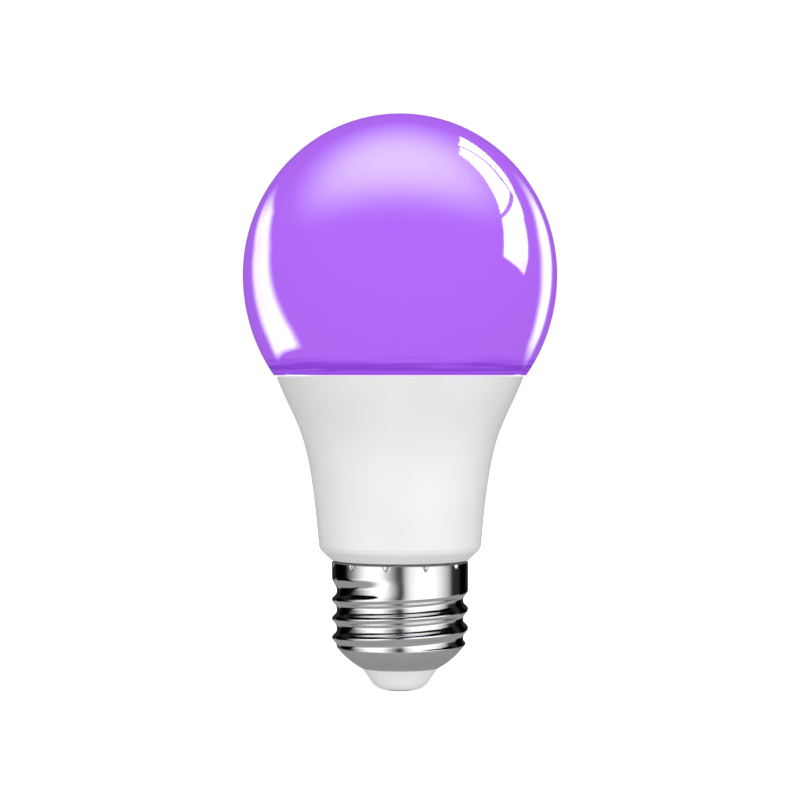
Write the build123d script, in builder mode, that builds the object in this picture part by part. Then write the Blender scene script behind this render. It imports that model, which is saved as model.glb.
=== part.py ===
from build123d import *
from math import asin, atan2, cos, degrees, radians, sin, sqrt, tan
import os

os.makedirs("parts", exist_ok=True)

# Driving dimensions (mm)
# The origin is on the bulb's axis, at the face of the centre contact. +Z runs up to the globe's crown.

# Globe
globe_radius = 30.0
globe_top = 110.0
globe_equator = 79.2
globe_lower_axis = 32.0
globe_wall = 1.3

# Joint between globe and housing
joint_height = 60.0
tongue_outer = 21.6
tongue_wall = 1.3
tongue_bottom = 57.8
tongue_round = 0.4
socket_floor = 57.6
bead_outer = 22.3
bead_depth = 1.2

# Housing: (radius, height) of the flared outside, from the shoulder up to the rim
flare_points = [(15.5, 27.6), (16.1, 34.0), (17.2, 42.0), (18.85, 48.8), (21.4, 54.8), (23.6, 60.0)]
housing_wall = 1.2
rim_round = 0.25
shoulder_radius = 15.15
shoulder_height = 26.75
shoulder_round = 1.4
underside = 24.9
underside_radius = 13.15
neck_bottom = 9.8
neck_outer = 11.7
neck_wall = 1.3
land_bottom = 22.2

# Edison screw shell, pressed from thin sheet
thread_pitch = 3.629
crest_radius = 13.025
root_radius = 12.1
sheet = 0.3
collar_top = 24.6
bowl_radius = 15.34
bowl_centre = 17.62
bowl_edge = 4.3
root_flat = 1.3
upper_flank = 1.0
lower_flank = 0.9
thread_turns = 3.75
thread_end = 19.9
inner_turns = 0.01
overrun = 0.7

# Punch marks that lock the shell to the neck
punch_count = 11
punch_angle = -101.0
punch_height = 23.7
punch_radius = 0.7
punch_depth = 0.75

# Cap insulator and centre contact
insulator_shoulder = 7.4
insulator_face = 0.3
insulator_top = 7.2
recess_floor = 4.9
recess_inner = 2.4
recess_outer = 6.8
contact_radius = 2.8
contact_head = 0.55
shank_radius = 0.85
shank_top = 8.4
shank_socket = 3.0

# Heat sink and light engine
cup_wall = 1.0
cup_bottom = 30.0
plate_bottom = 54.6
plate_top = 55.8
pad_thickness = 0.3
pad_radius = 19.6
led_board_radius = 20.6
led_board_thickness = 1.5
mask_thickness = 0.06
mask_radius = 20.2
screw_circle = 17.2
screw_radius = 1.25
screw_count = 3
screw_head_radius = 2.25
screw_head_height = 1.4
screw_length = 3.8
white_count = 12
white_circle = 15.2
color_count = 6
color_circle = 10.0

# Wireless module, which stands up through a slot in the light engine
module_back = 1.1
module_thickness = 0.8
module_width = 14.0
module_bottom = 45.5
module_top = 66.0
slot_clearance = 0.3

# Driver board and what it carries
board_face = -1.4
board_thickness = 1.2
board_lower_width = 17.8
board_upper_width = 23.0
board_bottom = 12.5
board_step = 28.0
board_top = 52.0
pin_spacing = 2.54
pin_radius = 0.32
lead_radius = 0.3

# Derived heights and radii

neck_inner = neck_outer - neck_wall
land_radius = crest_radius - sheet
board_back = board_face - board_thickness
board_middle = (board_face + board_back) / 2
module_front = module_back + module_thickness
module_middle = (module_back + module_front) / 2
pad_top = plate_top + pad_thickness
led_board_top = pad_top + led_board_thickness
mask_top = led_board_top + mask_thickness
pin_row = board_back - pin_radius


def finish_part(builder, name):
    """Label a finished sub-part and write its STEP file."""
    builder.part.label = name
    export_step(builder.part, f"parts/{name}.step")


def flare_inset(inset):
    """The points of the flare, moved in towards the axis."""
    return [(radius - inset, height) for radius, height in flare_points]


# Globe

tongue_inner = tongue_outer - tongue_wall
ledge_top = joint_height + globe_wall


def globe_outline(inset, bottom):
    """Points down one side of the globe, from its crown to a height near the joint."""
    side = globe_radius - inset
    upper = globe_top - globe_equator - inset
    lower = globe_lower_axis - inset
    low_angle = asin((bottom - globe_equator) / lower)
    upper_points = [
        (side * cos(radians(angle)), globe_equator + upper * sin(radians(angle)))
        for angle in (90, 67.5, 45, 22.5)
    ]
    lower_points = [
        (side * cos(low_angle * step / 2), globe_equator + lower * sin(low_angle * step / 2))
        for step in (0, 1, 2)
    ]
    return upper_points + lower_points


def globe_slope(inset, bottom):
    """Direction of the globe's outline at a height below its equator, pointing down."""
    side = globe_radius - inset
    lower = globe_lower_axis - inset
    low_angle = asin((bottom - globe_equator) / lower)
    return (side * sin(low_angle), -lower * cos(low_angle))


with BuildPart() as diffuser_globe:
    with BuildSketch(Plane.XZ):
        with BuildLine():
            outside = Spline(
                *globe_outline(0, joint_height), tangents=[(1, 0), globe_slope(0, joint_height)]
            )
            inside = Spline(
                *globe_outline(globe_wall, ledge_top), tangents=[(1, 0), globe_slope(globe_wall, ledge_top)]
            )
            Line(outside @ 0, inside @ 0)
            FilletPolyline(
                inside @ 1,
                (tongue_inner, ledge_top),
                (tongue_inner, tongue_bottom),
                (tongue_outer, tongue_bottom),
                (tongue_outer, joint_height),
                outside @ 1,
                radius=[tongue_round, tongue_round, tongue_round, 0],
            )
        make_face()
    revolve()
finish_part(diffuser_globe, "diffuser_globe")

# Silicone bead that glues the globe's tongue into the housing
with BuildPart() as globe_adhesive_bead:
    with BuildSketch(Plane.XY.offset(joint_height - bead_depth)):
        Circle(bead_outer)
        Circle(tongue_outer, mode=Mode.SUBTRACT)
    extrude(amount=bead_depth)
finish_part(globe_adhesive_bead, "globe_adhesive_bead")

# Housing

rail_width = 2.6
rail_thickness = 1.0
rail_overlap = 0.2
rail_play = 0.05
rail_gap = board_thickness / 2 + rail_play
rail_x = neck_inner + rail_overlap - rail_width / 2
rail_y = rail_gap + rail_thickness / 2
rail_bottom = 12.0
rail_top = 25.5
lead_play = 0.01
neutral_radius = root_radius - sheet - lead_radius - lead_play
neutral_x = sqrt(neutral_radius**2 - board_middle**2)
notch_width = 0.8
notch_top = 18.6
punch_slope = punch_radius / punch_depth


def punch_row(tip_radius, base_radius, mode):
    """A ring of conical punches that point at the axis, in the active part."""
    length = base_radius - tip_radius
    with Locations((0, 0, punch_height)):
        with PolarLocations(base_radius, punch_count, start_angle=punch_angle):
            Cone(
                length * punch_slope,
                0,
                length,
                rotation=(0, -90, 0),
                align=(Align.CENTER, Align.CENTER, Align.MIN),
                mode=mode,
            )


with BuildPart() as housing:
    with BuildSketch(Plane.XZ) as housing_section:
        with BuildLine():
            outer_flare = Spline(*flare_points)
            inner_flare = Spline(*flare_inset(housing_wall))
            Line(outer_flare @ 1, inner_flare @ 1)
            FilletPolyline(
                outer_flare @ 0,
                (shoulder_radius, shoulder_height),
                (underside_radius, underside),
                (land_radius, underside),
                (land_radius, land_bottom),
                (neck_outer, land_bottom - (land_radius - neck_outer)),
                (neck_outer, neck_bottom),
                (neck_inner, neck_bottom),
                (neck_inner, shoulder_height),
                inner_flare @ 0,
                radius=[shoulder_round, 0, 0, 0, 0, 0, 0, 0],
            )
        make_face()
        rim = housing_section.vertices().group_by(Axis.Y)[-1].sort_by(Axis.X)[-1]
        fillet(rim, rim_round)
    revolve()
    # Socket for the globe's tongue, and the wider glue groove at its mouth
    with BuildSketch(Plane.XY.offset(socket_floor)):
        Circle(tongue_outer)
    extrude(amount=joint_height - socket_floor, mode=Mode.SUBTRACT)
    with BuildSketch(Plane.XY.offset(joint_height - bead_depth)):
        Circle(bead_outer)
    extrude(amount=bead_depth, mode=Mode.SUBTRACT)
    # Rails that the driver board slides into
    with BuildSketch(Plane.XY.offset(rail_bottom)):
        for side in (-1, 1):
            for face in (-1, 1):
                with Locations((side * rail_x, board_middle + face * rail_y)):
                    Rectangle(rail_width, rail_thickness)
    extrude(amount=rail_top - rail_bottom)
    # Notch that the neutral lead lies in, and the pockets that the punch marks bite into
    with BuildSketch(Plane.XY.offset(neck_bottom)):
        with Locations((neck_outer, board_middle)):
            Rectangle(2 * (neck_outer - neutral_x + lead_radius), notch_width)
    extrude(amount=notch_top - neck_bottom, mode=Mode.SUBTRACT)
    punch_row(crest_radius - punch_depth - sheet, land_radius + sheet, Mode.SUBTRACT)
finish_part(housing, "housing")

# Screw shell


def bowl_height(radius, inset):
    """Height of the shell's rounded lower end at a radius, at a depth into the sheet."""
    return bowl_centre - sqrt((bowl_radius - inset) ** 2 - radius**2)


def bowl_angle(height, inset):
    """Angle on the rounded lower end's arc at a height."""
    sine = (height - bowl_centre) / (bowl_radius - inset)
    return degrees(atan2(sine, sqrt(1 - sine**2)))


def draw_shell_outline(inset, overrun):
    """Half outline of the shell before its thread is pressed, run on past both ends."""
    crest = crest_radius - inset
    low_end = bowl_edge - overrun
    high_end = collar_top + overrun
    low_angle = bowl_angle(low_end, inset)
    high_angle = bowl_angle(bowl_height(crest, inset), inset)
    bowl = CenterArc((0, bowl_centre), bowl_radius - inset, low_angle, high_angle - low_angle)
    Polyline(
        bowl @ 1,
        (crest, high_end),
        (0, high_end),
        (0, low_end),
        bowl @ 0,
    )


thread_start = thread_end - thread_turns * thread_pitch
thread_depth = crest_radius - root_radius


def groove_points(inset):
    """Section of the groove between two turns: a flat root and two flanks, open to the outside."""
    root = root_radius - inset
    crest = crest_radius - inset
    outside = crest_radius + sheet
    top = thread_start + root_flat / 2 + inset * tan(atan2(thread_depth, upper_flank) / 2)
    bottom = thread_start - root_flat / 2 - inset * tan(atan2(thread_depth, lower_flank) / 2)
    return [
        (root, bottom),
        (root, top),
        (crest, top + upper_flank),
        (outside, top + upper_flank),
        (outside, bottom - lower_flank),
        (crest, bottom - lower_flank),
    ]


def thread_path(inset, turns):
    """Helix along the root of the thread, from below the bowl up to the groove's end."""
    return Edge.make_helix(thread_pitch, turns * thread_pitch, root_radius - inset, (0, 0, thread_start))


with BuildPart() as shell_hollow:
    with BuildSketch(Plane.XZ):
        with BuildLine():
            draw_shell_outline(sheet, overrun)
        make_face()
    revolve()
    with BuildSketch(Plane.XZ):
        Polygon(*groove_points(sheet), align=None)
    sweep(path=thread_path(sheet, thread_turns + inner_turns), is_frenet=True, mode=Mode.SUBTRACT)

with BuildPart() as screw_shell:
    with BuildSketch(Plane.XZ):
        with BuildLine():
            draw_shell_outline(0, 0)
        make_face()
    revolve()
    with BuildSketch(Plane.XZ):
        Polygon(*groove_points(0), align=None)
    sweep(path=thread_path(0, thread_turns), is_frenet=True, mode=Mode.SUBTRACT)
    add(shell_hollow.part, mode=Mode.SUBTRACT)
    punch_row(crest_radius - punch_depth - sheet, land_radius + sheet / 3, Mode.ADD)
    punch_row(crest_radius - punch_depth, crest_radius + sheet, Mode.SUBTRACT)
finish_part(screw_shell, "screw_shell")

# Cap insulator and centre contact

shoulder_slope_point = (5.76, 2.0)
corner_point = (4.95, 1.0)
face_radius = 3.9

with BuildPart() as cap_insulator:
    with BuildSketch(Plane.XZ):
        with BuildLine():
            seat_low = bowl_angle(bowl_edge, sheet)
            seat_high = bowl_angle(insulator_top, sheet)
            seat = CenterArc((0, bowl_centre), bowl_radius - sheet, seat_low, seat_high - seat_low)
            Polyline(seat @ 0, (insulator_shoulder, bowl_edge), shoulder_slope_point)
            ThreePointArc(shoulder_slope_point, corner_point, (face_radius, insulator_face))
            Polyline(
                (face_radius, insulator_face),
                (contact_radius, insulator_face),
                (contact_radius, contact_head),
                (shank_radius, contact_head),
                (shank_radius, insulator_top),
                (recess_inner, insulator_top),
                (recess_inner, recess_floor),
                (recess_outer, recess_floor),
                (recess_outer, insulator_top),
                seat @ 1,
            )
        make_face()
    revolve()
finish_part(cap_insulator, "cap_insulator")

# Plated pin pressed through the insulator, with a socket for the live lead in its shank
contact_round = 0.2

with BuildPart() as centre_contact:
    with BuildSketch(Plane.XZ):
        with BuildLine():
            FilletPolyline(
                (0, 0),
                (contact_radius, 0),
                (contact_radius, contact_head),
                (shank_radius, contact_head),
                (shank_radius, shank_top),
                (lead_radius, shank_top),
                (lead_radius, shank_top - shank_socket),
                (0, shank_top - shank_socket),
                radius=[contact_round, 0, 0, contact_round, 0, 0],
            )
            Line((0, shank_top - shank_socket), (0, 0))
        make_face()
    revolve()
finish_part(centre_contact, "centre_contact")

# Heat sink cup

pin_slot_length = 12.0
pin_slot_width = 2.2
hole_clearance = 0.15


def through_holes(hole_radius, mode):
    """Slots for the wireless module and the pins, and the ring of screw holes, in the active sketch."""
    with Locations((0, module_middle)):
        Rectangle(module_width + 2 * slot_clearance, module_thickness + 2 * slot_clearance, mode=mode)
    with Locations((0, pin_row)):
        Rectangle(pin_slot_length, pin_slot_width, mode=mode)
    with PolarLocations(screw_circle, screw_count):
        Circle(hole_radius, mode=mode)


with BuildPart() as heat_sink_cup:
    with BuildSketch(Plane.XZ):
        with BuildLine():
            cup_outside = Spline(*flare_inset(housing_wall))
            Polyline(cup_outside @ 0, (0, flare_points[0][1]), (0, joint_height), cup_outside @ 1)
        make_face()
    revolve()
    split(bisect_by=Plane.XY.offset(plate_top), keep=Keep.BOTTOM)
    split(bisect_by=Plane.XY.offset(cup_bottom), keep=Keep.TOP)
    # Hollow under the plate: the same flare, one wall further in
    with BuildSketch(Plane.XZ):
        with BuildLine():
            cup_inside = Spline(*flare_inset(housing_wall + cup_wall))
            Polyline(cup_inside @ 0, (0, flare_points[0][1]), (0, joint_height), cup_inside @ 1)
        make_face()
        with Locations((0, plate_bottom)):
            Rectangle(2 * globe_radius, globe_radius, align=(Align.CENTER, Align.MIN), mode=Mode.SUBTRACT)
    revolve(mode=Mode.SUBTRACT)
    with BuildSketch(Plane.XY.offset(plate_bottom)):
        through_holes(screw_radius, Mode.ADD)
    extrude(amount=plate_top - plate_bottom, mode=Mode.SUBTRACT)
finish_part(heat_sink_cup, "heat_sink_cup")

# Light engine

with BuildPart() as thermal_pad:
    with BuildSketch(Plane.XY.offset(plate_top)):
        Circle(pad_radius)
        through_holes(screw_radius + hole_clearance, Mode.SUBTRACT)
    extrude(amount=pad_thickness)
finish_part(thermal_pad, "thermal_pad")

with BuildPart() as led_board:
    with BuildSketch(Plane.XY.offset(pad_top)):
        Circle(led_board_radius)
        through_holes(screw_radius + hole_clearance, Mode.SUBTRACT)
    extrude(amount=led_board_thickness)
finish_part(led_board, "led_board")

# White reflective coating, open round the screw heads
with BuildPart() as reflective_mask:
    with BuildSketch(Plane.XY.offset(led_board_top)):
        Circle(mask_radius)
        through_holes(screw_head_radius, Mode.SUBTRACT)
    extrude(amount=mask_thickness)
finish_part(reflective_mask, "reflective_mask")

white_length = 3.5
white_width = 2.8
white_height = 0.75
white_window = 2.3
white_window_length = white_length - white_width + white_window
color_size = 3.5
color_height = 1.4
color_window = 2.7
window_depth = 0.25
led_corner = 0.2
white_start = 15.0
color_start = 30.0


def led_ring(circle, count, start, length, width):
    """A ring of rounded rectangles with their long side along the ring, in the active sketch."""
    with PolarLocations(circle, count, start_angle=start):
        RectangleRounded(width, length, led_corner)


with BuildPart() as white_led_packages:
    with BuildSketch(Plane.XY.offset(mask_top)):
        led_ring(white_circle, white_count, white_start, white_length, white_width)
    extrude(amount=white_height)
    with BuildSketch(Plane.XY.offset(mask_top + white_height - window_depth)):
        led_ring(white_circle, white_count, white_start, white_window_length, white_window)
    extrude(amount=window_depth, mode=Mode.SUBTRACT)
finish_part(white_led_packages, "white_led_packages")

with BuildPart() as white_led_phosphors:
    with BuildSketch(Plane.XY.offset(mask_top + white_height - window_depth)):
        led_ring(white_circle, white_count, white_start, white_window_length, white_window)
    extrude(amount=window_depth)
finish_part(white_led_phosphors, "white_led_phosphors")

with BuildPart() as color_led_packages:
    with BuildSketch(Plane.XY.offset(mask_top)):
        led_ring(color_circle, color_count, color_start, color_size, color_size)
    extrude(amount=color_height)
    with BuildSketch(Plane.XY.offset(mask_top + color_height - window_depth)):
        with PolarLocations(color_circle, color_count, start_angle=color_start):
            Circle(color_window / 2)
    extrude(amount=window_depth, mode=Mode.SUBTRACT)
finish_part(color_led_packages, "color_led_packages")

with BuildPart() as color_led_lenses:
    with BuildSketch(Plane.XY.offset(mask_top + color_height - window_depth)):
        with PolarLocations(color_circle, color_count, start_angle=color_start):
            Circle(color_window / 2)
    extrude(amount=window_depth)
finish_part(color_led_lenses, "color_led_lenses")

# Screws: a pan head with a cross slot on a plain shank
slot_length = 2.4
slot_width = 0.5
slot_depth = 0.7
head_taper = 12

with BuildPart() as led_board_screws:
    with BuildSketch(Plane.XY.offset(led_board_top)):
        with PolarLocations(screw_circle, screw_count):
            Circle(screw_head_radius)
    extrude(amount=screw_head_height, taper=head_taper)
    with BuildSketch(Plane.XY.offset(led_board_top - screw_length)):
        with PolarLocations(screw_circle, screw_count):
            Circle(screw_radius)
    extrude(amount=screw_length)
    with BuildSketch(Plane.XY.offset(led_board_top + screw_head_height - slot_depth)):
        with PolarLocations(screw_circle, screw_count):
            Rectangle(slot_length, slot_width)
            Rectangle(slot_width, slot_length)
    extrude(amount=slot_depth, mode=Mode.SUBTRACT)
finish_part(led_board_screws, "led_board_screws")

# Pins between driver and light engine

pin_count = 4
pin_bottom = 47.5
pin_top = 59.4
pin_socket_height = 2.2
pin_socket_lip = 0.3
pin_socket_length = pin_slot_length + 2 * pin_socket_lip
pin_socket_width = pin_slot_width + 2 * pin_socket_lip
pin_socket_chamfer = 0.3

with BuildPart() as driver_pins:
    with BuildSketch(Plane.XY.offset(pin_bottom)):
        with Locations((0, pin_row)):
            with GridLocations(pin_spacing, 0, pin_count, 1):
                Circle(pin_radius)
    extrude(amount=pin_top - pin_bottom)
finish_part(driver_pins, "driver_pins")

with BuildPart() as led_board_socket:
    with BuildSketch(Plane.XY.offset(mask_top)):
        with Locations((0, pin_row)):
            Rectangle(pin_socket_length, pin_socket_width)
            with GridLocations(pin_spacing, 0, pin_count, 1):
                Circle(pin_radius, mode=Mode.SUBTRACT)
    extrude(amount=pin_socket_height)
    socket_top = led_board_socket.faces().sort_by(Axis.Z)[-1]
    chamfer(socket_top.outer_wire().edges(), pin_socket_chamfer)
finish_part(led_board_socket, "led_board_socket")

# Wireless module

header_height = 2.5
header_width = 12.7
header_bottom = 46.4
can_bottom = 47.2
can_height = 6.2
can_width = 10.5
can_depth = 2.0
can_wall = 0.25
can_corner = 0.5
chip_size = 5.0
chip_height = 0.9
chip_chamfer = 0.15
chip_middle = can_bottom + can_height / 2
trace_width = 0.7
trace_thickness = 0.1
trace_pitch = 1.6
trace_count = 7
trace_low = 59.2
trace_high = 64.6

with BuildPart() as wireless_board:
    with BuildSketch(Plane((0, module_back, module_bottom), x_dir=(-1, 0, 0), z_dir=(0, 1, 0))):
        Rectangle(module_width, module_top - module_bottom, align=(Align.CENTER, Align.MIN))
    extrude(amount=module_thickness)
finish_part(wireless_board, "wireless_board")

with BuildPart() as wireless_header:
    with BuildSketch(Plane((0, board_face, header_bottom), x_dir=(-1, 0, 0), z_dir=(0, 1, 0))):
        Rectangle(header_width, header_height, align=(Align.CENTER, Align.MIN))
    extrude(amount=module_back - board_face)
finish_part(wireless_header, "wireless_header")

with BuildPart() as wireless_shield_can:
    with BuildSketch(Plane((0, module_front, can_bottom), x_dir=(-1, 0, 0), z_dir=(0, 1, 0))):
        RectangleRounded(can_width, can_height, can_corner, align=(Align.CENTER, Align.MIN))
    extrude(amount=can_depth)
    offset(amount=-can_wall, openings=wireless_shield_can.faces().sort_by(Axis.Y)[0])
finish_part(wireless_shield_can, "wireless_shield_can")

with BuildPart() as wireless_chip:
    with BuildSketch(Plane((0, module_front, chip_middle), x_dir=(-1, 0, 0), z_dir=(0, 1, 0))):
        Rectangle(chip_size, chip_size)
    extrude(amount=chip_height)
    chamfer(wireless_chip.faces().sort_by(Axis.Y)[-1].edges(), chip_chamfer)
finish_part(wireless_chip, "wireless_chip")

# Folded aerial above the light engine, printed on the module's face
with BuildPart() as antenna_trace:
    with BuildSketch(Plane((0, module_front, trace_low), x_dir=(-1, 0, 0), z_dir=(0, 1, 0))):
        trace_height = trace_high - trace_low
        with Locations((0, trace_height / 2)):
            with GridLocations(trace_pitch, 0, trace_count, 1):
                Rectangle(trace_width, trace_height)
        for index in range(trace_count - 1):
            link_x = (index - (trace_count - 2) / 2) * trace_pitch
            link_y = trace_height - trace_width / 2 if index % 2 else trace_width / 2
            with Locations((link_x, link_y)):
                Rectangle(trace_pitch, trace_width)
    extrude(amount=trace_thickness)
finish_part(antenna_trace, "antenna_trace")

# Driver board

board_corner = 0.6

with BuildPart() as driver_board:
    with BuildSketch(Plane((0, board_back, 0), x_dir=(-1, 0, 0), z_dir=(0, 1, 0))) as board_outline:
        with Locations((0, board_bottom)):
            Rectangle(board_lower_width, board_top - board_bottom, align=(Align.CENTER, Align.MIN))
        with Locations((0, board_step)):
            Rectangle(board_upper_width, board_top - board_step, align=(Align.CENTER, Align.MIN))
        fillet(board_outline.vertices(), board_corner)
    extrude(amount=board_thickness)
finish_part(driver_board, "driver_board")

# Wound and boxed components

core_width = 13.0
core_height = 12.0
core_depth = 6.0
core_middle = (0.0, 5.0, 38.0)
window_height = 8.8
window_outer = 5.2
leg_half = 1.4
bobbin_wall = 0.7
flange_thickness = 0.8
winding_reach = 4.7
winding_inset = 0.4
winding_corner = 1.5
winding_height = window_height - 2 * flange_thickness
flange_play = 0.1
core_plane = Plane(core_middle, x_dir=(-1, 0, 0), z_dir=(0, 1, 0))
core_level = Plane(core_middle)

with BuildPart() as transformer_core:
    with BuildSketch(core_plane):
        Rectangle(core_width, core_height)
        with Locations(((window_outer + leg_half) / 2, 0), (-(window_outer + leg_half) / 2, 0)):
            Rectangle(window_outer - leg_half, window_height, mode=Mode.SUBTRACT)
    extrude(amount=core_depth / 2, both=True)
finish_part(transformer_core, "transformer_core")

bobbin_width = leg_half + bobbin_wall
bobbin_depth = core_depth / 2 + bobbin_wall
flange_reach = window_outer - flange_play
flange_front = core_middle[1] - board_face

with BuildPart() as transformer_bobbin:
    with BuildSketch(core_level.offset(-window_height / 2)):
        Rectangle(2 * bobbin_width, 2 * bobbin_depth)
    extrude(amount=window_height)
    for level in (-window_height / 2, window_height / 2 - flange_thickness):
        with BuildSketch(core_level.offset(level)):
            with Locations((0, -flange_front)):
                Rectangle(2 * flange_reach, flange_front + winding_reach, align=(Align.CENTER, Align.MIN))
        extrude(amount=flange_thickness)
    with BuildSketch(core_level.offset(-window_height / 2)):
        Rectangle(2 * leg_half, core_depth)
    extrude(amount=window_height, mode=Mode.SUBTRACT)
finish_part(transformer_bobbin, "transformer_bobbin")

with BuildPart() as transformer_winding:
    with BuildSketch(core_level.offset(-winding_height / 2)):
        RectangleRounded(2 * winding_reach, 2 * (winding_reach - winding_inset), winding_corner)
        Rectangle(2 * bobbin_width, 2 * bobbin_depth, mode=Mode.SUBTRACT)
    extrude(amount=winding_height)
finish_part(transformer_winding, "transformer_winding")

film_size = (7.0, 6.0, 4.0)
film_middle = (5.6, board_face + film_size[1] / 2, 29.4)
film_corner = 0.6

with BuildPart() as film_capacitor:
    with Locations(film_middle):
        Box(*film_size)
    fillet(film_capacitor.edges(), film_corner)
finish_part(film_capacitor, "film_capacitor")

# Electrolytic capacitors

crimp_depth = 0.4
crimp_height = 1.6
crimp_length = 0.8
can_edge = 0.5
input_radius = 4.0
input_place = (0.0, 3.4, 12.6)
input_length = 12.0
output_radius = 3.15
output_place = (4.0, -6.2, 33.0)
output_length = 11.0
input_crimp = input_length - crimp_height - crimp_length


def can_section(radius, length, crimp):
    """Half outline of a capacitor can, with its crimped groove near one end."""
    return [
        (0, 0),
        (radius - can_edge, 0),
        (radius, can_edge),
        (radius, crimp),
        (radius - crimp_depth, crimp + crimp_length / 2),
        (radius, crimp + crimp_length),
        (radius, length - can_edge),
        (radius - can_edge, length),
        (0, length),
    ]


with BuildPart() as input_capacitor:
    with BuildSketch(Plane(input_place, x_dir=(1, 0, 0), z_dir=(0, -1, 0))):
        Polygon(*can_section(input_radius, input_length, input_crimp), align=None)
    revolve(axis=Axis(input_place, (0, 0, 1)))
finish_part(input_capacitor, "input_capacitor")

with BuildPart() as output_capacitor:
    with BuildSketch(Plane(output_place, x_dir=(1, 0, 0), z_dir=(0, -1, 0))):
        Polygon(*can_section(output_radius, output_length, crimp_height), align=None)
    revolve(axis=Axis(output_place, (0, 0, 1)))
finish_part(output_capacitor, "output_capacitor")

# Surface-mounted parts on the board's back

bridge_size = (4.7, 1.6, 3.9)
bridge_place = (4.2, 17.5)
driver_chip_size = (5.0, 1.5, 4.0)
driver_chip_place = (-3.4, 26.0)
tab_size = (0.7, 0.3, 1.0)
package_chamfer = 0.3


def flat_package(size, place, tab_count, tab_step):
    """A moulded package lying on the board's back, with a row of tabs along its top and bottom."""
    width, depth, height = size
    middle_x, middle_z = place
    with Locations((middle_x, board_back - depth / 2, middle_z)):
        package = Box(width, depth, height)
    chamfer(package.faces().sort_by(Axis.Y)[0].edges(), package_chamfer)
    tab_z = height / 2 + tab_size[2] / 2
    for side in (-1, 1):
        for index in range(tab_count):
            tab_x = middle_x + (index - (tab_count - 1) / 2) * tab_step
            with Locations((tab_x, board_back - tab_size[1] / 2, middle_z + side * tab_z)):
                Box(*tab_size)


with BuildPart() as bridge_rectifier:
    flat_package(bridge_size, bridge_place, 2, pin_spacing)
finish_part(bridge_rectifier, "bridge_rectifier")

with BuildPart() as driver_chip:
    flat_package(driver_chip_size, driver_chip_place, 4, pin_spacing / 2)
finish_part(driver_chip, "driver_chip")

chip_part_size = (2.0, 0.55, 1.25)
chip_part_places = [
    (-7.0, 33.0), (-7.0, 35.5), (-7.0, 38.0), (-7.0, 40.5), (-3.2, 33.0), (-3.2, 35.5),
    (-3.2, 38.0), (-3.2, 40.5), (-8.6, 44.5), (-4.8, 44.5), (8.6, 46.0), (4.8, 46.0),
]

with BuildPart() as chip_resistors:
    chip_y = board_back - chip_part_size[1] / 2
    with Locations(*[(place_x, chip_y, place_z) for place_x, place_z in chip_part_places]):
        Box(*chip_part_size)
finish_part(chip_resistors, "chip_resistors")

# Leads

resistor_place = (-5.0, -5.6)
resistor_bottom = 13.6
resistor_length = 6.6
resistor_radius = 1.3
sleeve_wall = 0.35
sleeve_overhang = 0.8
bend_radius = 0.9
resistor_edge = 0.4
lead_reach = 1.6
input_lead_top = input_place[2] + input_length + lead_reach
input_lead_spacing = 3.5
output_lead_bottom = output_place[2] - lead_reach
output_lead_spacing = 2.5
resistor_lead_top = resistor_bottom + resistor_length + lead_reach
live_bend_radius = 1.1
neutral_bend_radius = 1.5


def round_wire(points, bend):
    """A round wire along straight runs and tangent bends, as a separate solid."""
    path = FilletPolyline(*points, radius=[bend] * (len(points) - 2), mode=Mode.PRIVATE)
    section = Plane(path @ 0, z_dir=path % 0) * Circle(lead_radius, mode=Mode.PRIVATE)
    return sweep(section, path=path, mode=Mode.PRIVATE)


def lead_pair(place, start_z, bend_z, end_y, spacing):
    """Two leads that leave a can and bend into the driver board."""
    middle_x, middle_y, base_z = place
    return [
        round_wire(
            [(lead_x, middle_y, base_z + start_z), (lead_x, middle_y, bend_z), (lead_x, end_y, bend_z)],
            bend_radius,
        )
        for lead_x in (middle_x - spacing / 2, middle_x + spacing / 2)
    ]


input_leads = lead_pair(input_place, input_length, input_lead_top, board_face, input_lead_spacing)
output_leads = lead_pair(output_place, 0, output_lead_bottom, board_back, output_lead_spacing)

with BuildPart() as capacitor_leads:
    add(input_leads)
    add(output_leads)
finish_part(capacitor_leads, "capacitor_leads")

resistor_tail = round_wire(
    [
        (*resistor_place, resistor_bottom + resistor_length),
        (*resistor_place, resistor_lead_top),
        (resistor_place[0], board_back, resistor_lead_top),
    ],
    bend_radius,
)

with BuildPart() as fusible_resistor:
    with BuildSketch(Plane.XY.offset(resistor_bottom)):
        with Locations(resistor_place):
            Circle(resistor_radius)
    extrude(amount=resistor_length)
    fillet(fusible_resistor.edges().filter_by(GeomType.CIRCLE), resistor_edge)
    add(resistor_tail)
finish_part(fusible_resistor, "fusible_resistor")

with BuildPart() as resistor_sleeve:
    with BuildSketch(Plane.XY.offset(resistor_bottom - sleeve_overhang)):
        with Locations(resistor_place):
            Circle(resistor_radius + sleeve_wall)
            Circle(resistor_radius, mode=Mode.SUBTRACT)
    extrude(amount=resistor_length + 2 * sleeve_overhang)
finish_part(resistor_sleeve, "resistor_sleeve")

live_rise = 9.6
live_run = 10.8
live_route = [
    (0, 0, shank_top - shank_socket),
    (0, 0, live_rise),
    (*resistor_place, live_run),
    (*resistor_place, resistor_bottom),
]
live_wire = round_wire(live_route, live_bend_radius)

with BuildPart() as live_lead:
    add(live_wire)
finish_part(live_lead, "live_lead")

neutral_start = 7.2
neutral_low = 8.9
neutral_wire = round_wire(
    [
        (neutral_start, board_middle, board_bottom),
        (neutral_start, board_middle, neutral_low),
        (neutral_x, board_middle, neutral_low),
        (neutral_x, board_middle, notch_top),
    ],
    neutral_bend_radius,
)

with BuildPart() as neutral_lead:
    add(neutral_wire)
finish_part(neutral_lead, "neutral_lead")
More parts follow.
